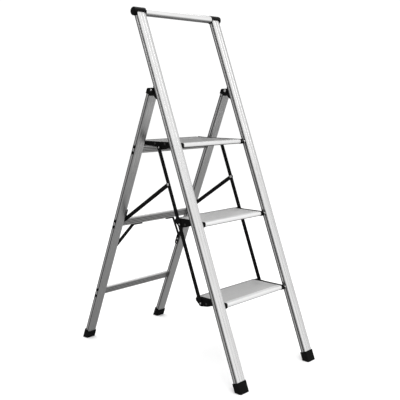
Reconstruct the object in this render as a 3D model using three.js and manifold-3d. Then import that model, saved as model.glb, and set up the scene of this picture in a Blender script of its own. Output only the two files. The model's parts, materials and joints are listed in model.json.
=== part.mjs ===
// A three-tread folding step stool with a high handrail, in millimetres.
// +Z is up, -Y is the side that is climbed, and the origin is on the floor under the middle of the stool.
//
// The front frame leans back. The rear frame hangs from two hinges high on the front stiles. Each tread
// turns on the stiles near its front edge, and two flat links tie the three treads together parallel to
// the stiles. A strut on each side runs from the link to the rear leg, so that the steps lift as the rear
// frame closes.

import * as THREE from 'three';
import { mergeVertices } from 'three/addons/utils/BufferGeometryUtils.js';
import Module from 'manifold-3d';

const wasm = await Module();
wasm.setup();

// ---------------------------------------------------------------- driving dimensions

const FRONT_TILT = THREE.MathUtils.degToRad(20.8); // front stiles from the vertical
const REAR_TILT = THREE.MathUtils.degToRad(21.7); // rear legs from the vertical
const GAP = 0.3; // between pieces that touch

const HALF_WIDTH = 192; // outer faces of the front stiles
const STILE = { width: 35.5, depth: 19, wall: 1.6, start: 9, sideGroove: 1.4 };
const LEG = { width: 32, depth: 19.5, wall: 1.6, end: 9, top: 12, sideGroove: 1.2 };
const LEG_OUTER = 191; // outer faces of the rear legs

const RAIL = { height: 1126.3, radius: 12.4, wall: 1.5, halfLength: 153.9 };
const CAP = {
  radius: 13.7,
  inner: 154.2, // where it meets the rail's end
  outer: 201,
  rounding: 4,
  plugRadius: 10.5,
  plugStart: 138,
  spigotLength: 30, // down inside the stile
  spigotGap: 0.8,
};
const STILE_TOP = 1126; // where the cap's roof covers the stile

const TREAD_TOPS = { bottom_step: 244, middle_step: 482, platform: 720 };
const TREAD = {
  halfWidth: 138,
  above: 8.5, // top of the tread over its pivot
  ahead: 1, // nosing ahead of the pivot
  nosing: 14,
  nosingLength: 15,
  thickness: 9.5,
  skin: 1.8,
  groovesStart: 18, // first groove behind the nosing
  groovePitch: 8,
  grooveWidth: 2,
  grooveDepth: 0.7,
  cellLength: 36,
  bead: 1.8, // raised along the back edge
  beadWidth: 2.4,
};
const STEP_DEPTH = 119.5;
const PLATFORM_DEPTH = 206.5;
const BRACKET = {
  plateInner: 146.8,
  outer: 150.2,
  cover: 1, // around the tread's section
  lip: 2.2,
  pivotLobe: 6.5,
  linkLobe: 10,
};

const ARM = { back: 98, down: 8 }; // link pivot from the tread's front pivot
const LINK = { width: 14, endRadius: 8, inner: 150.6, outer: 152.6 };
const STRUT = { width: 13.5, endRadius: 7.3, inner: 153, outer: 155 };
const STRUT_DROP = 123.5; // strut pin below the platform's link pivot, along the link
const STRUT_SEAT = { down: 466, back: 3 }; // strut pin on the rear leg, from the hinge

const HINGE = { along: 953, behind: 20.7 }; // along the stile from the floor, behind its centre line
const LUG = { halfWidth: 6.5, radius: 7.5 };
const HINGE_PLATE = { start: 0.3, thickness: 3, width: 28, down: 30, up: 9 };
const GUSSET = { thickness: 5, inset: 1, depth: 7, start: 20.5, end: 34 }; // down from the hinge
const LEG_CAP = { outer: 192, inner: 158, front: -6.2, back: 20.4, skirt: 18.3 };

const CROSSBAR = { front: 10.3, depth: 9, height: 28, wall: 1.5, edge: 1.5, groove: 0.8 };
const CROSSBARS_DOWN = { upper: 209, middle: 483.5, lower: 762 }; // below the hinge, along the leg
const BRACE = { thickness: 2.4, width: 12, ahead: 1.5, tabStart: 58, bend: 98, legMeet: 85, tabLength: 40 };
const SEAT = { radius: 6, plate: 2, up: 40, down: 8 }; // where the strut turns on the rear leg

const FOOT = { wall: 2.6, height: 31, seat: 8.6, corner: 2.5 };
const PIN = { radius: 3, hole: 3.3, head: 5, boltHead: 3.8, headHeight: 2, holeDepth: 5 };
const WASHER = { radius: 5.6, start: 153.1 }; // on the pivot rivet, against the stile

// ---------------------------------------------------------------- derived places

const stilePoint = (along, behind) => ({
  y: along * Math.sin(FRONT_TILT) + behind * Math.cos(FRONT_TILT),
  z: along * Math.cos(FRONT_TILT) - behind * Math.sin(FRONT_TILT),
});
const hingeFromFoot = stilePoint(HINGE.along, HINGE.behind);
const frontReach = (STILE.depth / 2 + FOOT.wall) / Math.cos(FRONT_TILT);
const rearReach = hingeFromFoot.y + hingeFromFoot.z * Math.tan(REAR_TILT)
  + (LEG.depth + FOOT.wall) / Math.cos(REAR_TILT);
const FOOT_Y = (frontReach - rearReach) / 2; // centre line of the front stiles on the floor

const hinge = { y: FOOT_Y + hingeFromFoot.y, z: hingeFromFoot.z };
const treadPivot = (name) => {
  const z = TREAD_TOPS[name] - TREAD.above;
  return { y: FOOT_Y + z * Math.tan(FRONT_TILT), z };
};
const linkTop = {
  y: treadPivot('platform').y + ARM.back,
  z: treadPivot('platform').z - ARM.down,
};
const strutTop = {
  y: linkTop.y - STRUT_DROP * Math.sin(FRONT_TILT),
  z: linkTop.z - STRUT_DROP * Math.cos(FRONT_TILT),
};
const strutFoot = {
  y: hinge.y + STRUT_SEAT.down * Math.sin(REAR_TILT) + STRUT_SEAT.back * Math.cos(REAR_TILT),
  z: hinge.z - STRUT_SEAT.down * Math.cos(REAR_TILT) + STRUT_SEAT.back * Math.sin(REAR_TILT),
};
const strutLength = Math.hypot(strutFoot.y - strutTop.y, strutTop.z - strutFoot.z);
const strutLean = Math.atan2(strutFoot.y - strutTop.y, strutTop.z - strutFoot.z);
const stileCentre = HALF_WIDTH - STILE.width / 2;
const stileInner = HALF_WIDTH - STILE.width;
const legCentre = LEG_OUTER - LEG.width / 2;
const legInner = LEG_OUTER - LEG.width;
const legFloor = (hinge.z + LEG.depth / 2 * Math.sin(REAR_TILT)) / Math.cos(REAR_TILT);

// ---------------------------------------------------------------- materials

const aluminium = new THREE.MeshStandardMaterial({ color: 0xd4d6d7, roughness: 0.35, metalness: 0.9 });
const treadAluminium = new THREE.MeshStandardMaterial({ color: 0xb9bbbd, roughness: 0.45, metalness: 0.9 });
const blackPlastic = new THREE.MeshStandardMaterial({ color: 0x111112, roughness: 0.45, metalness: 0 });
const blackSteel = new THREE.MeshStandardMaterial({ color: 0x141415, roughness: 0.4, metalness: 0.3 });
const rubber = new THREE.MeshStandardMaterial({ color: 0x18181a, roughness: 0.8, metalness: 0 });
const zincSteel = new THREE.MeshStandardMaterial({ color: 0xb4b6b8, roughness: 0.3, metalness: 1 });

// ---------------------------------------------------------------- geometry helpers

/** A THREE.Shape through a list of [a, b] corners. */
function outline(corners) {
  return new THREE.Shape(corners.map(([a, b]) => new THREE.Vector2(a, b)));
}

/** A rectangle with its corners cut at 45 degrees. */
function chamferedBox(x0, x1, y0, y1, cut) {
  return [
    [x0 + cut, y0], [x1 - cut, y0], [x1, y0 + cut], [x1, y1 - cut],
    [x1 - cut, y1], [x0 + cut, y1], [x0, y1 - cut], [x0, y0 + cut],
  ];
}

function circlePath(centre, radius) {
  const path = new THREE.Path();
  path.absarc(centre[0], centre[1], radius, 0, 2 * Math.PI);
  return path;
}

function extrude(shape, length, curveSegments = 6) {
  return new THREE.ExtrudeGeometry(shape, { depth: length, bevelEnabled: false, curveSegments });
}

/** A plate or bar whose outline lies in the Y-Z plane, between two places along X. */
function acrossX(shape, x0, x1, curveSegments = 6) {
  const geometry = extrude(shape, x1 - x0, curveSegments);
  const turn = new THREE.Matrix4().makeBasis(
    new THREE.Vector3(0, 1, 0), new THREE.Vector3(0, 0, 1), new THREE.Vector3(1, 0, 0),
  );
  return geometry.applyMatrix4(turn).translate(x0, 0, 0);
}

/** A bar whose outline lies in the X-Z plane, between two places along Y. */
function alongY(shape, y0, y1) {
  return extrude(shape, y1 - y0).rotateX(Math.PI / 2).translate(0, y1, 0);
}

/** A turned piece about the X axis, from [x, radius] corners; it starts and ends on the axis. */
function turned(profile, segments = 16) {
  const points = profile.map(([x, radius]) => new THREE.Vector2(radius, x));
  return new THREE.LatheGeometry(points, segments).rotateZ(-Math.PI / 2);
}

function block(x0, x1, y0, y1, z0, z1) {
  const box = new THREE.BoxGeometry(x1 - x0, y1 - y0, z1 - z0);
  return box.translate((x0 + x1) / 2, (y0 + y1) / 2, (z0 + z1) / 2);
}

/** Cuts one end of a bar along Z on a slope: height gives the new end from Y. */
function slopeEnd(geometry, isEnd, height) {
  const position = geometry.attributes.position;
  for (let i = 0; i < position.count; i += 1) {
    if (isEnd(position.getZ(i))) position.setZ(i, height(position.getY(i)));
  }
  return geometry;
}

/** Both halves of a section that is the same on each side of X = 0. */
function bothSides(half) {
  return outline([...half, ...half.map(([x, y]) => [-x, y]).reverse()]);
}

function toSolid(geometry) {
  const bare = geometry.clone();
  bare.deleteAttribute('normal');
  bare.deleteAttribute('uv');
  const merged = mergeVertices(bare, 1e-4);
  const index = Array.from(merged.index.array);
  const triVerts = [];
  for (let i = 0; i < index.length; i += 3) {
    const [a, b, c] = index.slice(i, i + 3);
    if (a !== b && b !== c && c !== a) triVerts.push(a, b, c);
  }
  return new wasm.Manifold(new wasm.Mesh({
    numProp: 3,
    vertProperties: new Float32Array(merged.attributes.position.array),
    triVerts: new Uint32Array(triVerts),
  }));
}

function toGeometry(solid) {
  const mesh = solid.getMesh();
  const geometry = new THREE.BufferGeometry();
  geometry.setAttribute('position', new THREE.BufferAttribute(new Float32Array(mesh.vertProperties), 3));
  geometry.setIndex(Array.from(mesh.triVerts));
  geometry.computeVertexNormals();
  return geometry;
}

/** Adds and cuts solids, all given as geometries in one frame. */
function combine(base, { add = [], cut = [] }) {
  const joined = add.reduce((solid, geometry) => solid.add(toSolid(geometry)), toSolid(base));
  return toGeometry(cut.reduce((solid, geometry) => solid.subtract(toSolid(geometry)), joined));
}

/** The same piece for the other side, reflected in the plane X = 0. */
function reflected(geometry) {
  const copy = geometry.index ? geometry.toNonIndexed() : geometry.clone();
  const position = copy.attributes.position;
  for (let i = 0; i < position.count; i += 3) {
    const corners = [0, 2, 1].map((k) => new THREE.Vector3().fromBufferAttribute(position, i + k));
    corners.forEach((corner, k) => position.setXYZ(i + k, -corner.x, corner.y, corner.z));
  }
  copy.computeVertexNormals();
  return copy;
}

// ---------------------------------------------------------------- frames that the pieces are built in

const stool = new THREE.Group();

function frame(y, z, tilt) {
  const group = new THREE.Group();
  group.position.set(0, y, z);
  group.rotation.x = tilt;
  stool.add(group);
  return group;
}

const frontFrame = frame(FOOT_Y, 0, -FRONT_TILT); // Z along the stiles, Y behind their centre line
const rearFrame = frame(hinge.y, hinge.z, REAR_TILT); // Z up the legs, Y behind their front faces
const linkFrame = frame(linkTop.y, linkTop.z, -FRONT_TILT); // Z up the links
const strutFrame = frame(strutTop.y, strutTop.z, strutLean); // Z up the struts

function piece(name, geometry, material, parent) {
  const mesh = new THREE.Mesh(geometry, material);
  mesh.name = name;
  parent.add(mesh);
}

/** A left and a right piece from the geometry of the right one. */
function pair(name, geometry, material, parent) {
  piece(`${name}_right`, geometry, material, parent);
  piece(`${name}_left`, reflected(geometry), material, parent);
}

// ---------------------------------------------------------------- front frame

/** The stile's section: grooved sides, a recess along the back corners and two fine lines in front. */
function stileSection() {
  const w = STILE.width / 2;
  const d = STILE.depth / 2;
  const sunk = w - STILE.sideGroove;
  const shape = bothSides([
    [5.4, -d], [6, -d + 0.6], [6.6, -d], [w - 1.8, -d], [w - 0.5, -d + 0.5], [w, -d + 1.8],
    [w, -d + 3.8], [sunk, -d + 4.4], [sunk, -d + 7.8], [w, -d + 8.4],
    [w, d - 5.6], [sunk, d - 5], [sunk, d - 1.2], [w - 2.6, d],
  ]);
  const hollowX = sunk - STILE.wall;
  const hollowY = d - STILE.wall;
  shape.holes.push(outline(chamferedBox(-hollowX, hollowX, -hollowY, hollowY, 1)));
  return shape;
}

/** Stiles with level top ends, and a blind hole in the inner wall for each tread's pivot. */
function makeStiles() {
  const top = STILE_TOP / Math.cos(FRONT_TILT);
  const bar = extrude(stileSection(), top - STILE.start).translate(stileCentre, 0, STILE.start);
  slopeEnd(bar, (z) => z > top / 2, (y) => top + y * Math.tan(FRONT_TILT));
  const start = stileInner - 1;
  const end = stileInner + PIN.holeDepth;
  const hole = turned([[start, 0], [start, PIN.hole], [end, PIN.hole], [end, 0]]);
  const holes = Object.keys(TREAD_TOPS).map((name) => {
    const along = treadPivot(name).z / Math.cos(FRONT_TILT);
    return hole.clone().translate(0, 0, along);
  });
  pair('front_stile', combine(bar, { cut: holes }), aluminium, frontFrame);
}

function makeHandrail() {
  const section = new THREE.Shape();
  section.absarc(0, 0, RAIL.radius, 0, 2 * Math.PI);
  section.holes.push(circlePath([0, 0], RAIL.radius - RAIL.wall));
  const rail = acrossX(section, -RAIL.halfLength, RAIL.halfLength, 32);
  piece('handrail', rail.translate(0, 0, RAIL.height / Math.cos(FRONT_TILT)), aluminium, frontFrame);
}

/** Corner cap: a plug in the rail, a roof over the stile's end and a round outer cheek. */
function makeTopCaps() {
  const rounding = [0, 30, 60, 90].map((degrees) => {
    const angle = THREE.MathUtils.degToRad(degrees);
    return [
      CAP.outer - CAP.rounding * (1 - Math.sin(angle)),
      CAP.radius - CAP.rounding * (1 - Math.cos(angle)),
    ];
  });
  const body = turned([
    [CAP.plugStart, 0], [CAP.plugStart, CAP.plugRadius], [CAP.inner, CAP.plugRadius],
    [CAP.inner, CAP.radius], ...rounding, [CAP.outer, 0],
  ], 32).rotateX(FRONT_TILT).translate(0, 0, RAIL.height / Math.cos(FRONT_TILT));
  const along = STILE_TOP / Math.cos(FRONT_TILT);
  const pocket = block(stileInner - GAP, HALF_WIDTH + GAP, -CAP.outer, CAP.outer, -CAP.outer, GAP)
    .rotateX(FRONT_TILT).translate(0, 0, along);
  const x = STILE.width / 2 - STILE.sideGroove - STILE.wall - CAP.spigotGap;
  const y = STILE.depth / 2 - STILE.wall - CAP.spigotGap;
  const bottom = along - CAP.spigotLength;
  const spigot = block(stileCentre - x, stileCentre + x, -y, y, bottom, along + CAP.radius / 2);
  const roof = combine(body, { cut: [pocket] });
  pair('handrail_corner_cap', combine(roof, { add: [spigot] }), blackPlastic, frontFrame);
}

/** Plate on the back of the stile with the lug that the rear leg hangs from, and a gusset at each edge. */
function makeHingeBrackets() {
  const back = STILE.depth / 2 + HINGE_PLATE.start;
  const front = back + HINGE_PLATE.thickness;
  const plate = block(
    stileCentre - HINGE_PLATE.width / 2, stileCentre + HINGE_PLATE.width / 2,
    back, front, HINGE.along - HINGE_PLATE.down, HINGE.along + HINGE_PLATE.up,
  );
  const lug = new THREE.Shape();
  lug.moveTo(back + 1, HINGE.along + LUG.radius);
  lug.lineTo(back + 1, HINGE.along - LUG.radius - 3);
  lug.lineTo(front + 1, HINGE.along - LUG.radius - 1);
  lug.absarc(HINGE.behind, HINGE.along, LUG.radius, -Math.PI / 2, Math.PI / 2);
  lug.holes.push(circlePath([HINGE.behind, HINGE.along], PIN.hole));
  const ear = acrossX(lug, stileCentre - LUG.halfWidth, stileCentre + LUG.halfWidth, 10);
  const gusset = outline([
    [back, HINGE.along - GUSSET.end], [back + 0.8, HINGE.along - GUSSET.end],
    [back + GUSSET.depth, HINGE.along - GUSSET.start - 3], [back + GUSSET.depth, HINGE.along - GUSSET.start],
    [back, HINGE.along - GUSSET.start + 1],
  ]);
  const reach = STILE.width / 2 - GUSSET.inset;
  const gussets = [stileCentre - reach, stileCentre + reach - GUSSET.thickness]
    .map((x) => acrossX(gusset, x, x + GUSSET.thickness));
  pair('hinge_bracket', combine(plate, { add: [ear, ...gussets] }), blackPlastic, frontFrame);
}

/** Rivet through the stile's inner wall, with a bright washer that keeps the tread off the stile. */
function makeTreadPivots() {
  const inner = BRACKET.plateInner + GAP;
  const washerEnd = stileInner - GAP;
  const headStart = stileInner + STILE.sideGroove + STILE.wall + GAP;
  const headEnd = headStart + PIN.headHeight;
  const profile = [
    [inner, 0], [inner, PIN.radius], [WASHER.start, PIN.radius], [WASHER.start, WASHER.radius - 0.6],
    [WASHER.start + 0.6, WASHER.radius], [washerEnd, WASHER.radius], [washerEnd, PIN.radius],
    [headStart, PIN.radius], [headStart, PIN.head], [headEnd, PIN.head], [headEnd, 0],
  ];
  for (const name of Object.keys(TREAD_TOPS)) {
    const along = treadPivot(name).z / Math.cos(FRONT_TILT);
    pair(`${name}_pivot_rivet`, turned(profile).translate(0, 0, along), zincSteel, frontFrame);
  }
}

/** Rubber foot: a cup around the end of a bar that leans by tilt, cut level with the floor. */
function footCup(halfWidth, halfDepth, tilt) {
  const x = halfWidth + FOOT.wall;
  const y = halfDepth + FOOT.wall;
  const cup = extrude(outline(chamferedBox(-x, x, -y, y, FOOT.corner)), FOOT.height);
  slopeEnd(cup, (z) => z < FOOT.height / 2, (along) => along * Math.tan(tilt));
  const pocketX = halfWidth + GAP;
  const pocketY = halfDepth + GAP;
  const pocket = block(-pocketX, pocketX, -pocketY, pocketY, FOOT.seat, FOOT.height + 1);
  return combine(cup, { cut: [pocket] });
}

function makeFrontFeet() {
  const cup = footCup(STILE.width / 2, STILE.depth / 2, FRONT_TILT);
  pair('front_foot', cup.translate(stileCentre, 0, 0), rubber, frontFrame);
}

// ---------------------------------------------------------------- rear frame

/** The leg's section: the stile's pattern of grooves, with its front face at Y = 0. */
function legSection() {
  const w = LEG.width / 2;
  const d = LEG.depth;
  const sunk = w - LEG.sideGroove;
  const shape = bothSides([
    [4.9, 0], [5.5, 0.6], [6.1, 0], [w - 1.5, 0], [w, 1.5], [w, 4.4], [sunk, 5], [sunk, 8.2], [w, 8.8],
    [w, d - 5], [sunk, d - 4.4], [sunk, d - 1], [w - 2.2, d],
  ]);
  const hollowX = sunk - LEG.wall;
  shape.holes.push(outline(chamferedBox(-hollowX, hollowX, LEG.wall, d - LEG.wall, 1)));
  return shape;
}

function makeLegs() {
  const length = legFloor - LEG.end - LEG.top;
  const bar = extrude(legSection(), length).translate(legCentre, 0, -LEG.top - length);
  pair('rear_leg', bar, aluminium, rearFrame);
}

/** Cap on the leg's top end: a skirt around the leg and two cheeks that straddle the stile's lug. */
function makeLegCaps() {
  const side = new THREE.Shape();
  side.moveTo(LEG_CAP.front, 3);
  side.lineTo(LEG_CAP.front + 2.6, 7.2);
  side.lineTo(LEG_CAP.front + 5.4, 8.2);
  side.lineTo(LEG_CAP.back - 2.5, 0.2);
  side.lineTo(LEG_CAP.back, -3);
  side.lineTo(LEG_CAP.back, -LEG_CAP.skirt);
  side.lineTo(10, -LEG_CAP.skirt + 1.5);
  side.absarc(1.5, -LEG_CAP.skirt + 6.7, 7.7, -0.25 * Math.PI, -0.93 * Math.PI, true);
  const body = acrossX(side, LEG_CAP.inner, LEG_CAP.outer, 6);
  const socketX = LEG.width / 2 + GAP;
  const socket = block(
    legCentre - socketX, legCentre + socketX, -GAP, LEG.depth + GAP, -2 * LEG_CAP.skirt, -LEG.top + GAP,
  );
  const reach = LUG.radius + 0.8;
  const slot = block(
    stileCentre - LUG.halfWidth - GAP, stileCentre + LUG.halfWidth + GAP,
    LEG_CAP.front - 1, reach, -reach, LEG_CAP.back,
  );
  const start = LEG_CAP.inner - 1;
  const end = LEG_CAP.outer + 1;
  const bore = turned([[start, 0], [start, PIN.hole], [end, PIN.hole], [end, 0]]);
  pair('rear_leg_cap', combine(body, { cut: [socket, slot, bore] }), blackPlastic, rearFrame);
}

/** Hinge bolt through the cap's cheeks and the lug. */
function makeHingeBolts() {
  const inner = LEG_CAP.inner - GAP;
  const outer = LEG_CAP.outer + GAP;
  const profile = [
    [inner - PIN.headHeight, 0], [inner - PIN.headHeight, PIN.head], [inner, PIN.head],
    [inner, PIN.radius], [outer, PIN.radius], [outer, PIN.boltHead],
    [outer + PIN.headHeight, PIN.boltHead - 0.8], [outer + PIN.headHeight, 0],
  ];
  pair('hinge_bolt', turned(profile), zincSteel, rearFrame);
}

/** Hollow crossbar between the legs, ribbed along its front. */
function makeCrossbars() {
  const front = CROSSBAR.front;
  const back = CROSSBAR.front + CROSSBAR.depth;
  const h = CROSSBAR.height / 2;
  const cut = CROSSBAR.edge;
  const sunk = front + CROSSBAR.groove;
  const grooves = [6, 0, -6].flatMap((z) => [
    [front, z + 1.2], [sunk, z + 0.6], [sunk, z - 0.6], [front, z - 1.2],
  ]);
  const section = outline([
    [back - cut, -h], [back, -h + cut], [back, h - cut], [back - cut, h], [front + cut, h], [front, h - cut],
    ...grooves, [front, -h + cut], [front + cut, -h],
  ]);
  const inside = chamferedBox(sunk + CROSSBAR.wall, back - CROSSBAR.wall, -h + 2, h - 2, 0.8);
  section.holes.push(outline(inside));
  const bar = acrossX(section, -legInner + GAP, legInner - GAP);
  for (const [name, down] of Object.entries(CROSSBARS_DOWN)) {
    piece(`${name}_crossbar`, bar.clone().translate(0, 0, -down), aluminium, rearFrame);
  }
}

/** Bent strap from under the middle crossbar to the leg's inner face. */
function makeKneeBraces() {
  const t = BRACE.thickness;
  const top = -CROSSBARS_DOWN.middle - CROSSBAR.height / 2 - GAP;
  const wall = legInner - GAP;
  const meet = top - BRACE.legMeet;
  const lean = Math.atan2(wall - BRACE.bend, BRACE.legMeet);
  const shift = t / Math.cos(lean);
  const drop = t / Math.sin(lean);
  const strap = outline([
    [BRACE.tabStart, top], [BRACE.tabStart, top - t], [BRACE.bend - shift * 0.35, top - t],
    [wall - t, meet - drop * 0.35], [wall - t, meet - BRACE.tabLength], [wall, meet - BRACE.tabLength],
    [wall, meet], [BRACE.bend, top],
  ]);
  const front = CROSSBAR.front - BRACE.ahead;
  pair('knee_brace', alongY(strap, front, front + BRACE.width), blackSteel, rearFrame);
}

/** Plate on the leg's inner face with the seat and the rivet that the strut turns on. */
function makeStrutBrackets() {
  const plate = outline(chamferedBox(-5, 6.5, -SEAT.down, SEAT.up, 2.5));
  const base = acrossX(plate, legInner - GAP - SEAT.plate, legInner - GAP);
  const start = STRUT.outer + GAP;
  const end = legInner - 1;
  const seat = turned([[start, 0], [start, SEAT.radius], [end, SEAT.radius], [end, 0]]);
  const bracket = combine(base, { add: [seat] });
  pair('strut_bracket', bracket.translate(0, STRUT_SEAT.back, -STRUT_SEAT.down), blackSteel, rearFrame);
  const head = STRUT.inner - GAP;
  const rivet = turned([
    [head - 1, 0], [head - 1, PIN.head - 1], [head, PIN.head], [head, PIN.radius],
    [STRUT.outer, PIN.radius], [STRUT.outer, 0],
  ]);
  pair('strut_foot_rivet', rivet.translate(0, STRUT_SEAT.back, -STRUT_SEAT.down), zincSteel, rearFrame);
}

function makeRearFeet() {
  const cup = footCup(LEG.width / 2, LEG.depth / 2, -REAR_TILT);
  pair('rear_foot', cup.translate(legCentre, LEG.depth / 2, -legFloor), rubber, rearFrame);
}

// ---------------------------------------------------------------- treads

/** Hollow tread section about its pivot: grooved top, deeper nosing, a row of cells, a bead at the back. */
function treadSection(depth) {
  const front = -TREAD.ahead;
  const back = front + depth;
  const top = TREAD.above;
  const under = top - TREAD.thickness;
  const nose = top - TREAD.nosing;
  const skin = TREAD.skin;
  const corners = [
    [front, nose + 4], [front + 0.8, nose + 1.6], [front + 3, nose], [front + TREAD.nosingLength, nose],
    [front + TREAD.nosingLength + 3, under], [back - 1, under], [back, under + 1],
    [back, top + TREAD.bead - 0.6], [back - 0.6, top + TREAD.bead],
    [back - TREAD.beadWidth + 0.8, top + TREAD.bead], [back - TREAD.beadWidth, top],
  ];
  const grooved = depth - TREAD.groovesStart - 2 * skin;
  const low = top - TREAD.grooveDepth;
  for (let i = Math.floor(grooved / TREAD.groovePitch) - 1; i >= 0; i -= 1) {
    const start = front + TREAD.groovesStart + i * TREAD.groovePitch;
    const end = start + TREAD.grooveWidth;
    corners.push([end, top], [end - 0.4, low], [start + 0.4, low], [start, top]);
  }
  corners.push([front + 4.5, top], [front + 1.6, top - 1.2], [front + 0.3, top - 3.6]);
  const shape = outline(corners);
  const ceiling = low - skin;
  const nosingCell = chamferedBox(front + skin, front + TREAD.nosingLength - skin, nose + skin, ceiling, 1);
  shape.holes.push(outline(nosingCell));
  const hollow = depth - TREAD.groovesStart - skin;
  const cells = Math.round(hollow / TREAD.cellLength);
  for (let i = 0; i < cells; i += 1) {
    const start = front + TREAD.groovesStart + i * (hollow / cells);
    const end = start + hollow / cells - skin;
    shape.holes.push(outline(chamferedBox(start, end, under + skin, ceiling, 0.5)));
  }
  return shape;
}

/** Plate of a step's end bracket: rounded about the pivot in front, with a lobe at the link. */
function stepPlateOutline() {
  const top = TREAD.above + BRACKET.lip;
  const back = STEP_DEPTH - TREAD.ahead + BRACKET.cover;
  const shape = new THREE.Shape();
  shape.moveTo(-1.5, top);
  shape.absarc(0, 0, BRACKET.pivotLobe, 0.85 * Math.PI, 1.5 * Math.PI);
  shape.lineTo(46, -6);
  shape.lineTo(70, -14);
  shape.absarc(ARM.back, -ARM.down, BRACKET.linkLobe, 1.45 * Math.PI, 1.88 * Math.PI);
  shape.lineTo(back - 2, -4);
  shape.lineTo(back, 0);
  shape.lineTo(back, 5);
  shape.lineTo(back - 6, top);
  return shape;
}

/** Plate of the platform's end bracket: its lobe is ahead of the link, its back end clears the crossbar. */
function platformPlateOutline() {
  const top = TREAD.above + BRACKET.lip;
  const back = PLATFORM_DEPTH - TREAD.ahead + BRACKET.cover;
  const shape = new THREE.Shape();
  shape.moveTo(-1.5, top);
  shape.absarc(0, 0, BRACKET.pivotLobe, 0.85 * Math.PI, 1.5 * Math.PI);
  shape.lineTo(60, -9.5);
  shape.lineTo(76, -13.5);
  shape.absarc(ARM.back - 4, -4.5, BRACKET.linkLobe, 1.5 * Math.PI, 1.96 * Math.PI);
  shape.lineTo(150, -5);
  shape.lineTo(162, -1);
  shape.lineTo(back - 2, -1);
  shape.lineTo(back, 1);
  shape.lineTo(back, top - 2);
  shape.lineTo(back - 2, top);
  return shape;
}

/** Moulded cover between the plate and the tread's end, a little larger than the tread's section. */
function endCoverOutline(depth) {
  const front = -TREAD.ahead - BRACKET.cover;
  const back = depth - TREAD.ahead + BRACKET.cover;
  const top = TREAD.above + BRACKET.cover;
  const under = TREAD.above - TREAD.thickness - BRACKET.cover;
  const nose = TREAD.above - TREAD.nosing - BRACKET.cover;
  const noseEnd = TREAD.nosingLength - TREAD.ahead + BRACKET.cover;
  return outline([
    [front, nose + 2.5], [front + 2.5, nose], [noseEnd, nose], [noseEnd + 3, under],
    [back - 1.5, under], [back, under + 1.5], [back, top - 2], [back - 2, top], [front + 5, top],
    [front + 1.6, top - 1.4], [front, top - 5],
  ]);
}

function makeTread(name, depth, plateShape) {
  const pivot = treadPivot(name);
  const group = frame(pivot.y, pivot.z, 0);
  const deck = acrossX(treadSection(depth), -TREAD.halfWidth, TREAD.halfWidth);
  piece(name === 'platform' ? 'platform_deck' : `${name}_tread`, deck, treadAluminium, group);
  const plate = acrossX(plateShape, BRACKET.plateInner, BRACKET.outer, 8);
  const cover = acrossX(endCoverOutline(depth), TREAD.halfWidth + GAP, BRACKET.plateInner + GAP);
  const deep = BRACKET.plateInner;
  const open = BRACKET.outer + 1;
  const pivotBore = turned([[deep, 0], [deep, PIN.hole], [open, PIN.hole], [open, 0]]);
  const linkBore = pivotBore.clone().translate(0, ARM.back, -ARM.down);
  const bracket = combine(plate, { add: [cover], cut: [pivotBore, linkBore] });
  pair(`${name}_end_bracket`, bracket, blackPlastic, group);
  const start = BRACKET.plateInner + GAP;
  const rivet = turned([[start, 0], [start, PIN.radius], [LINK.outer, PIN.radius], [LINK.outer, 0]]);
  pair(`${name}_link_rivet`, rivet.translate(0, ARM.back, -ARM.down), zincSteel, group);
}

// ---------------------------------------------------------------- links and struts

/** A flat bar with round ends down from the origin, with pin holes at the given distances. */
function flatBar(length, width, endRadius, holes) {
  const shape = new THREE.Shape();
  const lean = Math.asin(width / 2 / endRadius);
  shape.absarc(0, 0, endRadius, -Math.PI / 2 + lean, 1.5 * Math.PI - lean);
  shape.absarc(0, -length, endRadius, Math.PI / 2 + lean, 2.5 * Math.PI - lean);
  for (const down of holes) shape.holes.push(circlePath([0, -down], PIN.hole));
  return shape;
}

function makeLinks() {
  const rise = (TREAD_TOPS.middle_step - TREAD_TOPS.bottom_step) / Math.cos(FRONT_TILT);
  const bar = flatBar(2 * rise, LINK.width, LINK.endRadius, [0, STRUT_DROP, rise, 2 * rise]);
  pair('step_link', acrossX(bar, LINK.inner, LINK.outer, 8), blackSteel, linkFrame);
  const head = LINK.inner - GAP;
  const rivet = turned([
    [head - 1, 0], [head - 1, PIN.head - 1], [head, PIN.head], [head, PIN.radius],
    [LINK.outer, PIN.radius], [LINK.outer, 0],
  ]);
  pair('strut_link_rivet', rivet.translate(0, 0, -STRUT_DROP), zincSteel, linkFrame);
}

function makeStruts() {
  const bar = flatBar(strutLength, STRUT.width, STRUT.endRadius, [0, strutLength]);
  pair('folding_strut', acrossX(bar, STRUT.inner, STRUT.outer, 8), blackSteel, strutFrame);
  const head = STRUT.outer + GAP;
  const rivet = turned([
    [STRUT.inner, 0], [STRUT.inner, PIN.radius], [head, PIN.radius], [head, PIN.head],
    [head + 0.7, PIN.head - 1], [head + 0.7, 0],
  ]);
  pair('strut_top_rivet', rivet, zincSteel, strutFrame);
}

// ---------------------------------------------------------------- the whole stool

makeStiles();
makeHandrail();
makeTopCaps();
makeHingeBrackets();
makeTreadPivots();
makeFrontFeet();
makeLegs();
makeLegCaps();
makeHingeBolts();
makeCrossbars();
makeKneeBraces();
makeStrutBrackets();
makeRearFeet();
makeTread('bottom_step', STEP_DEPTH, stepPlateOutline());
makeTread('middle_step', STEP_DEPTH, stepPlateOutline());
makeTread('platform', PLATFORM_DEPTH, platformPlateOutline());
makeLinks();
makeStruts();

export default stool;
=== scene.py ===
"""Looks of the folding step stool: materials, screws, rivets and studio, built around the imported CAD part.

Everything is in metres, in the row frame: +Z up, -Y towards the side that is climbed.
"""

import json
import math

import bmesh
import bpy
from mathutils import Matrix, Vector


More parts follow.
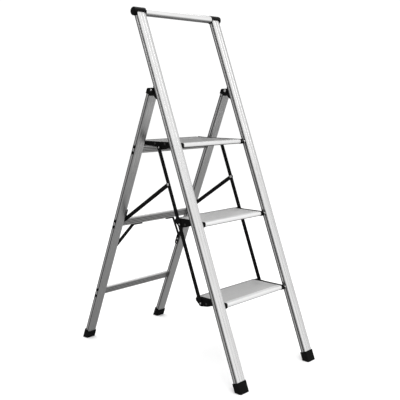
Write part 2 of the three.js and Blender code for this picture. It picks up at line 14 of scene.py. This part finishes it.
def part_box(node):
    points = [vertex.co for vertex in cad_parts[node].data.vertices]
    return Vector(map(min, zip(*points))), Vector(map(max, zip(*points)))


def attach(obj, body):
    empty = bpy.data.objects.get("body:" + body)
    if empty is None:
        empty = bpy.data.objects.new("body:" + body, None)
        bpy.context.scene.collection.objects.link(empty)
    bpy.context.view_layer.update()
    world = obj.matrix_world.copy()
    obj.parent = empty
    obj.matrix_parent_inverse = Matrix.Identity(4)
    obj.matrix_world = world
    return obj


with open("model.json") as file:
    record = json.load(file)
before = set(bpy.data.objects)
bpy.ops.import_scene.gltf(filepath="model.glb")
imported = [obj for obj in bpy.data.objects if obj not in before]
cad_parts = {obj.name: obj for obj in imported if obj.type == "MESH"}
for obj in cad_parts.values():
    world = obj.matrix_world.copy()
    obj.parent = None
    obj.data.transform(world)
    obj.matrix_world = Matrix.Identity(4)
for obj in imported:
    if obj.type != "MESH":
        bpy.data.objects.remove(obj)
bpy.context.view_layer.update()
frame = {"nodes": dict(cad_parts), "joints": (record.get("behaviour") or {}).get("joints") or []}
nodes = frame["nodes"]
joints = {joint["name"]: Vector(joint["pos_m"]) for joint in frame["joints"]}

# ---------------------------------------------------------------- dimensions

FRONT_LEAN = math.radians(20.8)  # front stiles from the vertical
REAR_LEAN = math.radians(21.7)  # rear legs from the vertical
STILE_OUTER = 0.192
LEG_OUTER = 0.191
BRACKET_OUTER = 0.1502
BRACKET_INNER = 0.1468
LEG_MIDDLE = 0.0105  # middle of the leg's side, behind its front face
STILE_GROOVES = [(-0.0052, -0.0015), (0.0043, 0.0090)]  # behind the stile's centre line
LEG_GROOVES = [(0.005, 0.0083), (0.0149, 0.0190)]  # behind the leg's front face
LEG_INNER = 0.159
STRUT_DOWN = 0.1235  # the strut's pivot on the link, below the link's own pivot on the platform
CAP_RIVET = (0.026, 0.013)  # down the leg from the hinge, behind the leg's front face
CROSSBARS_DOWN = (0.209, 0.4835, 0.762)
CROSSBAR_LINES = (-0.006, 0.0, 0.006)  # grooves of a crossbar, from its middle
TREAD_TOP = 0.0085  # above the pivot
NOSING_BOTTOM = -0.0055
NOSING_END = 0.0165  # behind the pivot

HINGE = joints["rear_frame_fold"]
STRUT_FOOT = joints["strut_swing"]
LINK_TOP = joints["link_swing"]
TREADS = {name: joints[f"{name}_fold"] for name in ("bottom_step", "middle_step", "platform")}
LINK_ARM = LINK_TOP - TREADS["platform"]
STRUT_TOP = LINK_TOP - STRUT_DOWN * Vector((0, math.sin(FRONT_LEAN), math.cos(FRONT_LEAN)))
STRUT_LEAN = math.atan2(STRUT_FOOT.y - STRUT_TOP.y, STRUT_TOP.z - STRUT_FOOT.z)

CROSSBAR_SCREWS_DOWN = [0.1977, 0.2191, 0.472, 0.4948, 0.7493, 0.7746]  # along the leg, below the hinge
BRACE_SCREWS_DOWN = [0.6018, 0.6158]
BRACE_INNER = 0.1563  # inner face of the knee brace's tab on the leg
BRACE_MIDDLE = 0.0125  # middle of that tab, behind the leg's front face
STEP_BOLTS = [(0.075, -0.006)]  # behind and above a step's pivot
PLATFORM_BOLTS = [(0.072, 0.0025), (0.117, 0.0025)]

# radius and height of each kind of head
PIVOT_TAIL = (0.0036, 0.0012)
PLATFORM_SCREW = (0.0038, 0.0022)
STEP_SCREW = (0.0038, 0.0003)  # almost flush, because the link passes close to a step's bracket
LINK_RIVET_HEAD = (0.0048, 0.0016)
LEG_CAP_RIVET = (0.0028, 0.0012)
CROSSBAR_SCREW = (0.0055, 0.0018)
BRACE_SCREW = (0.003, 0.0016)
PIVOT_TAIL_SUNK = 0.0013  # its base inside the stile's outer face, so that it shows only in the groove
HEAD_BEVEL = 0.00015
SOCKET_LOBES = 0.14  # how far the six lobes of a socket swing in and out, as a share of its radius

CAMERA_PLACE = Vector((-1.6911, -1.5965, 0.8650))
CAMERA_AZIMUTH = math.radians(47.196)
CAMERA_DIP = math.radians(8.479)
CAMERA_LENS = 62.76  # millimetres
CAMERA_SENSOR = 36.0


def on_leg(down, behind):
    """Y and Z of a place on the rear frame: down the leg from the hinge, behind its front face."""
    y = HINGE.y + down * math.sin(REAR_LEAN) + behind * math.cos(REAR_LEAN)
    z = HINGE.z - down * math.cos(REAR_LEAN) + behind * math.sin(REAR_LEAN)
    return y, z


# ---------------------------------------------------------------- material graphs


class Graph:
    """A material's node tree, with short calls to add and join nodes."""

    def __init__(self, name):
        self.material = bpy.data.materials.new(name)
        self.material.use_nodes = True
        self.tree = self.material.node_tree
        self.shader = self.tree.nodes["Principled BSDF"]
        self.place = self.add("ShaderNodeTexCoord").outputs["Object"]

    def add(self, kind, settings=None, **values):
        node = self.tree.nodes.new(kind)
        for key, value in (settings or {}).items():
            setattr(node, key, value)
        for key, value in values.items():
            self.feed(node.inputs[key.replace("_", " ")], value)
        return node

    def feed(self, socket, value):
        if isinstance(value, bpy.types.NodeSocket):
            self.tree.links.new(value, socket)
        else:
            socket.default_value = value

    def math(self, operation, first, second=0.0):
        node = self.add("ShaderNodeMath", {"operation": operation})
        self.feed(node.inputs[0], first)
        self.feed(node.inputs[1], second)
        return node.outputs[0]

    def ramp(self, value, low, high, out_low=0.0, out_high=1.0):
        node = self.add("ShaderNodeMapRange", {"interpolation_type": "SMOOTHSTEP"})
        for key, number in (
            ("Value", value), ("From Min", low), ("From Max", high),
            ("To Min", out_low), ("To Max", out_high),
        ):
            self.feed(node.inputs[key], number)
        return node.outputs["Result"]

    def noise(self, vector, scale, detail=3.0, roughness=0.55):
        node = self.add("ShaderNodeTexNoise", Vector=vector, Scale=scale, Detail=detail,
                        Roughness=roughness)
        return node.outputs["Fac"]

    def mix(self, factor, first, second):
        node = self.add("ShaderNodeMix", {"data_type": "RGBA"})
        self.feed(node.inputs[0], factor)
        self.feed(node.inputs[6], first)
        self.feed(node.inputs[7], second)
        return node.outputs[2]

    def mapped(self, turn, scale, origin=(0.0, 0.0, 0.0)):
        """Coordinates along a bar that is turned about X, divided by the grain's size."""
        node = self.add("ShaderNodeMapping", {"vector_type": "TEXTURE"}, Vector=self.place)
        node.inputs["Location"].default_value = origin
        node.inputs["Rotation"].default_value = (turn, 0.0, 0.0)
        node.inputs["Scale"].default_value = scale
        return node.outputs["Vector"]

    def bump(self, height, distance, strength, below=None):
        node = self.add("ShaderNodeBump", Height=height, Distance=distance, Strength=strength)
        if below is not None:
            self.feed(node.inputs["Normal"], below)
        return node.outputs["Normal"]


def grey(value, warmth=0.0):
    """Grey as a linear colour, a little towards orange with warmth."""
    return (value * (1 + warmth), value, value * (1 - warmth), 1.0)


def extruded_metal(name, tone, roughness, turn=0.0, along_x=False, ribs=0.0, scuffed=0.25,
                   metallic=1.0, grooves=(), groove_origin=(0.0, 0.0, 0.0), across_axis="Y", pivot=None,
                   shaded_below=None):
    """Drawn aluminium: fine lines along the bar, cloudy oxide, a few scuffs, painted shade in the side
    grooves; on a rail, painted shade along its underside; on a tread, painted shade between the ribs, above
    its top and under its nosing, and a painted highlight over its nosing.
    """
    g = Graph(name)
    fine_size = (0.09, 0.0006, 0.0006) if along_x else (0.0006, 0.0006, 0.09)
    band_size = (0.5, 0.004, 0.004) if along_x else (0.004, 0.004, 0.5)
    fine = g.noise(g.mapped(turn, fine_size), 1.0, 4.0)
    bands = g.noise(g.mapped(turn, band_size), 1.0, 2.0)
    cloud = g.noise(g.place, 14.0, 4.0)
    scuffs = g.ramp(g.noise(g.place, 95.0, 6.0, 0.7), 0.62, 0.74, 0.0, scuffed)
    base = g.mix(g.ramp(fine, 0.3, 0.7), grey(tone * 0.93), grey(min(tone * 1.05, 0.97)))
    base = g.mix(g.ramp(bands, 0.35, 0.65, 0.0, 0.3), base, grey(tone * 0.84, 0.01))
    base = g.mix(g.ramp(cloud, 0.35, 0.75, 0.0, 0.25), base, grey(tone * 0.86, 0.015))
    base = g.mix(scuffs, base, grey(tone * 0.72))
    streaks = g.ramp(fine, 0.25, 0.75, roughness - 0.05, roughness + 0.07)
    rough = g.math("ADD", streaks, g.ramp(cloud, 0.3, 0.8, -0.02, 0.07))
    rough = g.math("ADD", rough, g.math("MULTIPLY", scuffs, 0.5))
    normal = g.bump(fine, 0.00004, 0.35)
    normal = g.bump(bands, 0.00012, 0.25, normal)
    if ribs:
        wave = g.add("ShaderNodeTexWave",
                     {"wave_type": "BANDS", "bands_direction": "Y", "wave_profile": "SIN"})
        g.feed(wave.inputs["Vector"], g.place)
        g.feed(wave.inputs["Scale"], 2 * math.pi / 20 / ribs)
        normal = g.bump(wave.outputs["Fac"], 0.00012, 0.5, normal)
        # painted shade: the troughs between the ribs are darker
        base = g.mix(g.ramp(wave.outputs["Fac"], 0.0, 0.45, 0.22, 0.0), base, grey(tone * 0.6))
    # painted shade: each side groove is darkened towards black along its middle
    if grooves:
        across = g.mapped(turn, (1.0, 1.0, 1.0), groove_origin)
        behind = g.add("ShaderNodeSeparateXYZ", Vector=across).outputs[across_axis]
        for low, high in grooves:
            middle = (low + high) / 2
            half = (high - low) / 2
            away = g.math("ABSOLUTE", g.math("SUBTRACT", behind, middle))
            depth = g.ramp(away, half * 0.9, half * 1.2, 0.94, 0.0)
            base = g.mix(depth, base, grey(tone * 0.06))
    if shaded_below is not None:
        height = g.add("ShaderNodeSeparateXYZ", Vector=g.place).outputs["Z"]
        shade = g.ramp(height, shaded_below - 0.0115, shaded_below - 0.003, 0.8, 0.0)
        base = g.mix(shade, base, grey(0.12))
    # painted light on a tread: the nosing, in front of NOSING_END, is painted lighter as a highlight;
    # whatever rises above the tread's top and the nosing's underside get near-black painted shade
    if pivot is not None:
        split = g.add("ShaderNodeSeparateXYZ", Vector=g.place)
        ahead = g.ramp(split.outputs["Y"], pivot.y + NOSING_END - 0.001, pivot.y + NOSING_END, 1.0, 0.0)
        base = g.mix(ahead, base, grey(0.85))
        edge = g.ramp(split.outputs["Z"], pivot.z + TREAD_TOP + 0.0002, pivot.z + TREAD_TOP + 0.0006)
        underside = pivot.z + NOSING_BOTTOM
        underside_shade = g.ramp(split.outputs["Z"], underside + 0.0015, underside + 0.0035, 1.0, 0.0)
        base = g.mix(g.math("MULTIPLY", g.math("MAXIMUM", edge, underside_shade), 0.88), base, grey(0.03))
    g.feed(g.shader.inputs["Base Color"], base)
    g.feed(g.shader.inputs["Roughness"], rough)
    g.feed(g.shader.inputs["Normal"], normal)
    g.shader.inputs["Metallic"].default_value = metallic
    return g.material


def moulded_plastic(name, tone, roughness, grain=0.0006, depth=0.00005, gloss=0.35):
    """Black moulded plastic or rubber: fine spark-eroded grain, faint flow marks and rubbed patches."""
    g = Graph(name)
    fine = g.noise(g.place, 1 / grain, 2.0)
    flow = g.noise(g.place, 35.0, 4.0)
    rubbed = g.ramp(g.noise(g.place, 160.0, 5.0, 0.65), 0.58, 0.75)
    base = g.mix(g.ramp(flow, 0.3, 0.7), grey(tone * 0.75), grey(tone * 1.3))
    base = g.mix(g.math("MULTIPLY", rubbed, 0.5), base, grey(tone * 2.2, 0.02))
    patches = g.ramp(flow, 0.3, 0.7, roughness - 0.06, roughness + 0.06)
    rough = g.math("ADD", patches, g.math("MULTIPLY", rubbed, 0.12))
    g.feed(g.shader.inputs["Base Color"], base)
    g.feed(g.shader.inputs["Roughness"], rough)
    g.feed(g.shader.inputs["Normal"], g.bump(fine, depth, 0.6))
    g.shader.inputs["Specular IOR Level"].default_value = gloss
    return g.material


def painted_steel(name, tone, turn=None, origin=None, rib=0.0):
    """Black stove enamel on flat steel bar; where rib is given, a pressed rib along the middle of the bar
    with a painted highlight on it.
    """
    g = Graph(name)
    peel = g.noise(g.place, 900.0, 2.0)
    cloud = g.noise(g.place, 40.0, 4.0)
    chips = g.ramp(g.noise(g.place, 260.0, 6.0, 0.75), 0.66, 0.72)
    base = g.mix(g.ramp(cloud, 0.3, 0.7), grey(tone * 0.8), grey(tone * 1.3))
    base = g.mix(g.math("MULTIPLY", chips, 0.3), base, grey(0.05, 0.03))
    normal = g.bump(peel, 0.00003, 0.5)
    if rib:
        across = g.add("ShaderNodeSeparateXYZ", Vector=g.mapped(turn, (1.0, 1.0, 1.0), origin)).outputs["Y"]
        height = g.ramp(g.math("ABSOLUTE", across), rib * 0.55, rib, 1.0, 0.0)
        normal = g.bump(height, 0.0006, 0.9, normal)
        # painted highlight: the rib's raised middle is painted lighter
        base = g.mix(g.math("MULTIPLY", height, 0.35), base, grey(tone * 2.4))
    g.feed(g.shader.inputs["Base Color"], base)
    g.feed(g.shader.inputs["Roughness"], g.ramp(cloud, 0.3, 0.7, 0.38, 0.5))
    g.feed(g.shader.inputs["Normal"], normal)
    g.shader.inputs["Specular IOR Level"].default_value = 0.06
    return g.material


def plated_steel(name, tone, roughness):
    """Zinc-plated or blackened fastener: turned rings are left out, fine pits and dull patches stay."""
    g = Graph(name)
    pits = g.noise(g.place, 1500.0, 3.0)
    dull = g.noise(g.place, 300.0, 4.0)
    base = g.mix(g.ramp(dull, 0.35, 0.7), grey(tone), grey(tone * 0.72, 0.02))
    g.feed(g.shader.inputs["Base Color"], base)
    g.feed(g.shader.inputs["Roughness"], g.ramp(dull, 0.3, 0.7, roughness, roughness + 0.15))
    g.feed(g.shader.inputs["Normal"], g.bump(pits, 0.00003, 0.4))
    g.shader.inputs["Metallic"].default_value = 1.0
    return g.material


MATERIALS = {
    "stile": extruded_metal("stile_aluminium", 0.84, 0.26, -FRONT_LEAN, scuffed=0.08,
                            grooves=STILE_GROOVES, groove_origin=TREADS["bottom_step"]),
    "rail": extruded_metal("rail_aluminium", 0.92, 0.13, along_x=True, scuffed=0.05,
                           shaded_below=sum(corner.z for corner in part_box("handrail")) / 2),
    "leg": extruded_metal("leg_aluminium", 0.66, 0.36, REAR_LEAN,
                          grooves=LEG_GROOVES, groove_origin=HINGE),
    "crossbar": extruded_metal("crossbar_aluminium", 0.6, 0.36, REAR_LEAN, along_x=True, across_axis="Z",
                               groove_origin=HINGE,
                               grooves=[(line - down - 0.0011, line - down + 0.0011)
                                        for down in CROSSBARS_DOWN for line in CROSSBAR_LINES]),
    # the three treads are one aluminium; their different tones are painted shade, darkest on the platform
    "bottom_step": extruded_metal("bottom_step_aluminium", 0.66, 0.36, along_x=True, ribs=0.0016,
                                  metallic=0.6, pivot=TREADS["bottom_step"]),
    "middle_step": extruded_metal("middle_step_aluminium", 0.76, 0.36, along_x=True, ribs=0.0016,
                                  metallic=0.6, pivot=TREADS["middle_step"]),
    "platform": extruded_metal("platform_aluminium", 0.42, 0.36, along_x=True, ribs=0.0016,
                               metallic=0.8, pivot=TREADS["platform"]),
    "cap": moulded_plastic("cap_plastic", 0.002, 0.38, gloss=0.09),
    "bracket": moulded_plastic("bracket_plastic", 0.003, 0.5, gloss=0.06),
    "rubber": moulded_plastic("foot_rubber", 0.004, 0.62, grain=0.0011, depth=0.00012, gloss=0.06),
    "steel": painted_steel("black_steel", 0.004),
    "link": painted_steel("link_steel", 0.003, -FRONT_LEAN, LINK_TOP, 0.0028),
    "strut": painted_steel("strut_steel", 0.003, STRUT_LEAN, STRUT_FOOT, 0.003),
    "zinc": plated_steel("zinc_steel", 0.85, 0.2),
    "dark_zinc": plated_steel("dark_zinc_steel", 0.08, 0.35),
    "black_screw": plated_steel("black_screw_steel", 0.015, 0.45),
}

# which material and how rounded an edge each kind of CAD node gets; the first matching word wins
NODE_LOOKS = [
    ("rivet", "zinc", 0.0003),
    ("hinge_bolt", "zinc", 0.0005),
    ("foot", "rubber", 0.0012),
    ("front_stile", "stile", 0.0002),
    ("handrail_corner_cap", "cap", 0.0008),
    ("handrail", "rail", 0.0003),
    ("rear_leg_cap", "cap", 0.0007),
    ("hinge_bracket", "cap", 0.0005),
    ("rear_leg", "leg", 0.0002),
    ("crossbar", "crossbar", 0.0002),
    ("end_bracket", "bracket", 0.0005),
    ("platform_deck", "platform", 0.0002),
    ("middle_step_tread", "middle_step", 0.0002),
    ("bottom_step_tread", "bottom_step", 0.0002),
    ("step_link", "link", 0.0004),
    ("folding_strut", "strut", 0.0004),
    ("", "steel", 0.0004),
]
SMOOTH_ANGLE = math.radians(30)
WELD_DISTANCE = 1e-6


def dress(name, node):
    """Gives a CAD node its material, soft edges and smooth curved faces."""
    look, edge = next((look, edge) for word, look, edge in NODE_LOOKS if word in name)
    mesh = node.data
    mesh.materials.clear()
    mesh.materials.append(MATERIALS[look])
    if "custom_normal" in mesh.attributes:
        mesh.attributes.remove(mesh.attributes["custom_normal"])
    for attribute in ("sharp_face", "sharp_edge"):
        if attribute in mesh.attributes:
            mesh.attributes.remove(mesh.attributes[attribute])
    mesh.polygons.foreach_set("use_smooth", [True] * len(mesh.polygons))
    weld = node.modifiers.new("weld", "WELD")
    weld.merge_threshold = WELD_DISTANCE
    bevel = node.modifiers.new("soft_edges", "BEVEL")
    bevel.width = edge
    bevel.segments = 2
    bevel.limit_method = "ANGLE"
    bevel.angle_limit = SMOOTH_ANGLE
    bevel.harden_normals = True
    bevel.use_clamp_overlap = True


for node_name, node_object in nodes.items():
    dress(node_name, node_object)

# ---------------------------------------------------------------- detail pieces


def revolved(name, rings, place, outward, material, segments=24, lobes=0.0):
    """A turned piece from rings of (height, radius, is_socket); a socket's rings have six lobes."""
    mesh = bmesh.new()
    loops = []
    for height, radius, is_socket in rings:
        loop = []
        for i in range(segments):
            angle = 2 * math.pi * i / segments
            r = radius * (1 + lobes * math.cos(6 * angle)) if is_socket else radius
            loop.append(mesh.verts.new((r * math.cos(angle), r * math.sin(angle), height)))
        loops.append(loop)
    for lower, upper in zip(loops, loops[1:]):
        for i in range(segments):
            j = (i + 1) % segments
            mesh.faces.new((lower[i], lower[j], upper[j], upper[i]))
    mesh.faces.new(reversed(loops[0]))
    mesh.faces.new(loops[-1])
    data = bpy.data.meshes.new(name)
    mesh.to_mesh(data)
    mesh.free()
    piece = bpy.data.objects.new(name, data)
    bpy.context.scene.collection.objects.link(piece)
    turn = Vector((0, 0, 1)).rotation_difference(Vector(outward).normalized())
    piece.matrix_world = Matrix.Translation(place) @ turn.to_matrix().to_4x4()
    data.materials.append(material)
    data.polygons.foreach_set("use_smooth", [True] * len(data.polygons))
    bevel = piece.modifiers.new("soft_edges", "BEVEL")
    bevel.width = HEAD_BEVEL
    bevel.limit_method = "ANGLE"
    bevel.angle_limit = SMOOTH_ANGLE
    bevel.harden_normals = True
    return piece


def screw(name, place, outward, size, material, body):
    """Button-head screw with a six-lobed socket."""
    radius, height = size
    rings = [
        (0.0, radius, False), (height * 0.35, radius, False), (height * 0.75, radius * 0.86, False),
        (height, radius * 0.62, False), (height, radius * 0.5, True), (height * 0.45, radius * 0.44, True),
    ]
    piece = revolved(name, rings, place, outward, material, lobes=SOCKET_LOBES)
    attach(piece, body)


def rivet_head(name, place, outward, size, material, body):
    """Domed rivet head with the small dimple that the tool leaves."""
    radius, height = size
    rings = [
        (0.0, radius, False), (height * 0.3, radius, False), (height * 0.7, radius * 0.84, False),
        (height, radius * 0.5, False), (height * 0.95, radius * 0.3, False),
        (height * 0.7, radius * 0.18, False),
    ]
    piece = revolved(name, rings, place, outward, material)
    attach(piece, body)


for side, label in ((-1, "left"), (1, "right")):
    outward = (side, 0, 0)
    inward = (-side, 0, 0)

    for name, pivot in TREADS.items():
        place = (side * (STILE_OUTER - PIVOT_TAIL_SUNK), pivot.y, pivot.z)
        rivet_head(f"{name}_pivot_tail_{label}", place, outward, PIVOT_TAIL,
                   MATERIALS["dark_zinc"], "front_frame")
        bolts, size = (PLATFORM_BOLTS, PLATFORM_SCREW) if name == "platform" else (STEP_BOLTS, STEP_SCREW)
        for index, (behind, above) in enumerate(bolts):
            place = (side * BRACKET_OUTER, pivot.y + behind, pivot.z + above)
            screw(f"{name}_bracket_screw_{index + 1}_{label}", place, outward, size,
                  MATERIALS["dark_zinc"], name)
        place = (side * BRACKET_INNER, pivot.y + LINK_ARM.y, pivot.z + LINK_ARM.z)
        rivet_head(f"{name}_link_rivet_head_{label}", place, inward, LINK_RIVET_HEAD,
                   MATERIALS["zinc"], name)

    y, z = on_leg(*CAP_RIVET)
    rivet_head(f"leg_cap_rivet_{label}", (side * LEG_INNER, y, z), inward, LEG_CAP_RIVET,
               MATERIALS["dark_zinc"], "rear_frame")
    for index, down in enumerate(CROSSBAR_SCREWS_DOWN):
        y, z = on_leg(down, LEG_MIDDLE)
        screw(f"crossbar_screw_{index + 1}_{label}", (side * LEG_OUTER, y, z), outward, CROSSBAR_SCREW,
              MATERIALS["black_screw"], "rear_frame")
    for index, down in enumerate(BRACE_SCREWS_DOWN):
        y, z = on_leg(down, BRACE_MIDDLE)
        screw(f"brace_screw_{index + 1}_{label}", (side * BRACE_INNER, y, z), inward, BRACE_SCREW,
              MATERIALS["zinc"], "rear_frame")

# ---------------------------------------------------------------- camera

CAMERA_NAME = "photo_camera"
camera = bpy.data.objects.new(CAMERA_NAME, bpy.data.cameras.new(CAMERA_NAME))
bpy.context.scene.collection.objects.link(camera)
looking = Vector((
    math.sin(CAMERA_AZIMUTH) * math.cos(CAMERA_DIP),
    math.cos(CAMERA_AZIMUTH) * math.cos(CAMERA_DIP),
    -math.sin(CAMERA_DIP),
))
camera.location = CAMERA_PLACE
camera.rotation_euler = looking.to_track_quat("-Z", "Y").to_euler()
camera.data.lens = CAMERA_LENS
camera.data.sensor_width = CAMERA_SENSOR
bpy.context.scene.camera = camera

# ---------------------------------------------------------------- studio

FLOOR_HALF = 30.0
DOME_RADIUS = 25.0
DOME_STRENGTH = 1.08  # just over white, so that the wall meets the floor without a line
ROOM_GREY = 0.42
# parts of the mirrored room that are darker: direction, cosine of the angle from it where the darkening
# starts, cosine where it is full, and how much darker
DARK_WALLS = [
    ((0, 0, -1), 0.66, 0.8, 0.3),
    ((1, 0, 0), 0.72, 0.82, 0.16),
    ((-1, 0, 0), 0.70, 0.80, 0.12),
    ((0.70, 0.66, 0.15), 0.90, 0.985, 0.3),
]


def make_floor():
    """Matt white floor that reaches past the dome."""
    corners = [(x * FLOOR_HALF, y * FLOOR_HALF, 0) for x, y in ((-1, -1), (1, -1), (1, 1), (-1, 1))]
    data = bpy.data.meshes.new("studio_floor")
    data.from_pydata(corners, [], [(0, 1, 2, 3)])
    floor = bpy.data.objects.new("studio_floor", data)
    bpy.context.scene.collection.objects.link(floor)
    g = Graph("floor_paint")
    mottle = g.noise(g.place, 3.0, 3.0)
    g.feed(g.shader.inputs["Base Color"], g.mix(mottle, grey(0.93), grey(0.96)))
    g.feed(g.shader.inputs["Roughness"], 0.9)
    g.shader.inputs["Specular IOR Level"].default_value = 0.0
    data.materials.append(g.material)
    floor.visible_glossy = False


def make_dome():
    """White wall and ceiling far around the stool, which polished metal does not mirror."""
    mesh = bmesh.new()
    bmesh.ops.create_icosphere(mesh, subdivisions=4, radius=DOME_RADIUS)
    data = bpy.data.meshes.new("studio_dome")
    mesh.to_mesh(data)
    mesh.free()
    dome = bpy.data.objects.new("studio_dome", data)
    bpy.context.scene.collection.objects.link(dome)
    g = Graph("dome_light")
    g.feed(g.shader.inputs["Base Color"], grey(0.0))
    g.feed(g.shader.inputs["Emission Color"], grey(1.0))
    g.feed(g.shader.inputs["Emission Strength"], DOME_STRENGTH)
    g.shader.inputs["Specular IOR Level"].default_value = 0.0
    g.material.cycles.emission_sampling = "NONE"
    data.materials.append(g.material)
    dome.visible_glossy = False
    dome.visible_shadow = False


def make_reflections():
    """What polished metal mirrors: grey room, bright window ahead and to the right, bright ceiling."""
    world = bpy.data.worlds.new("studio_reflections")
    world.use_nodes = True
    world.cycles.sampling_method = "NONE"
    tree = world.node_tree
    direction = tree.nodes.new("ShaderNodeTexCoord").outputs["Generated"]

    def smooth(towards, low, high, top):
        dot = tree.nodes.new("ShaderNodeVectorMath")
        dot.operation = "DOT_PRODUCT"
        tree.links.new(direction, dot.inputs[0])
        dot.inputs[1].default_value = Vector(towards).normalized()
        ramp = tree.nodes.new("ShaderNodeMapRange")
        ramp.interpolation_type = "SMOOTHSTEP"
        tree.links.new(dot.outputs["Value"], ramp.inputs["Value"])
        for key, value in (("From Min", low), ("From Max", high), ("To Min", 0.0), ("To Max", top)):
            ramp.inputs[key].default_value = value
        return ramp.outputs["Result"]

    def combine(operation, first, second):
        node = tree.nodes.new("ShaderNodeMath")
        node.operation = operation
        for socket, value in zip(node.inputs, (first, second)):
            if isinstance(value, float):
                socket.default_value = value
            else:
                tree.links.new(value, socket)
        return node.outputs[0]

    window = smooth((0.62, -0.74, 0.25), 0.7, 0.93, 0.58)
    ceiling = smooth((0, 0, 1), 0.35, 0.85, 0.75)
    strength = combine("ADD", combine("MAXIMUM", window, ceiling), ROOM_GREY)
    for towards, low, high, darker in DARK_WALLS:
        strength = combine("SUBTRACT", strength, smooth(towards, low, high, darker))
    background = tree.nodes["Background"]
    background.inputs["Color"].default_value = (1.0, 1.0, 1.0, 1.0)
    tree.links.new(strength, background.inputs["Strength"])
    bpy.context.scene.world = world


def make_lamp(name, place, target, size, power):
    """Square softbox that shines from place towards target."""
    light = bpy.data.lights.new(name, "AREA")
    light.size = size
    light.energy = power
    lamp = bpy.data.objects.new(name, light)
    lamp.location = place
    lamp.rotation_euler = (Vector(target) - Vector(place)).to_track_quat("-Z", "Y").to_euler()
    bpy.context.scene.collection.objects.link(lamp)


make_floor()
make_dome()
make_reflections()
make_lamp("key_softbox", (-1.5, -2.4, 3.2), (0, 0, 0.5), 2.4, 45)
make_lamp("top_softbox", (0.6, 0.8, 3.6), (0, 0, 0.3), 3.0, 40)
bpy.context.scene.view_settings.view_transform = "Standard"
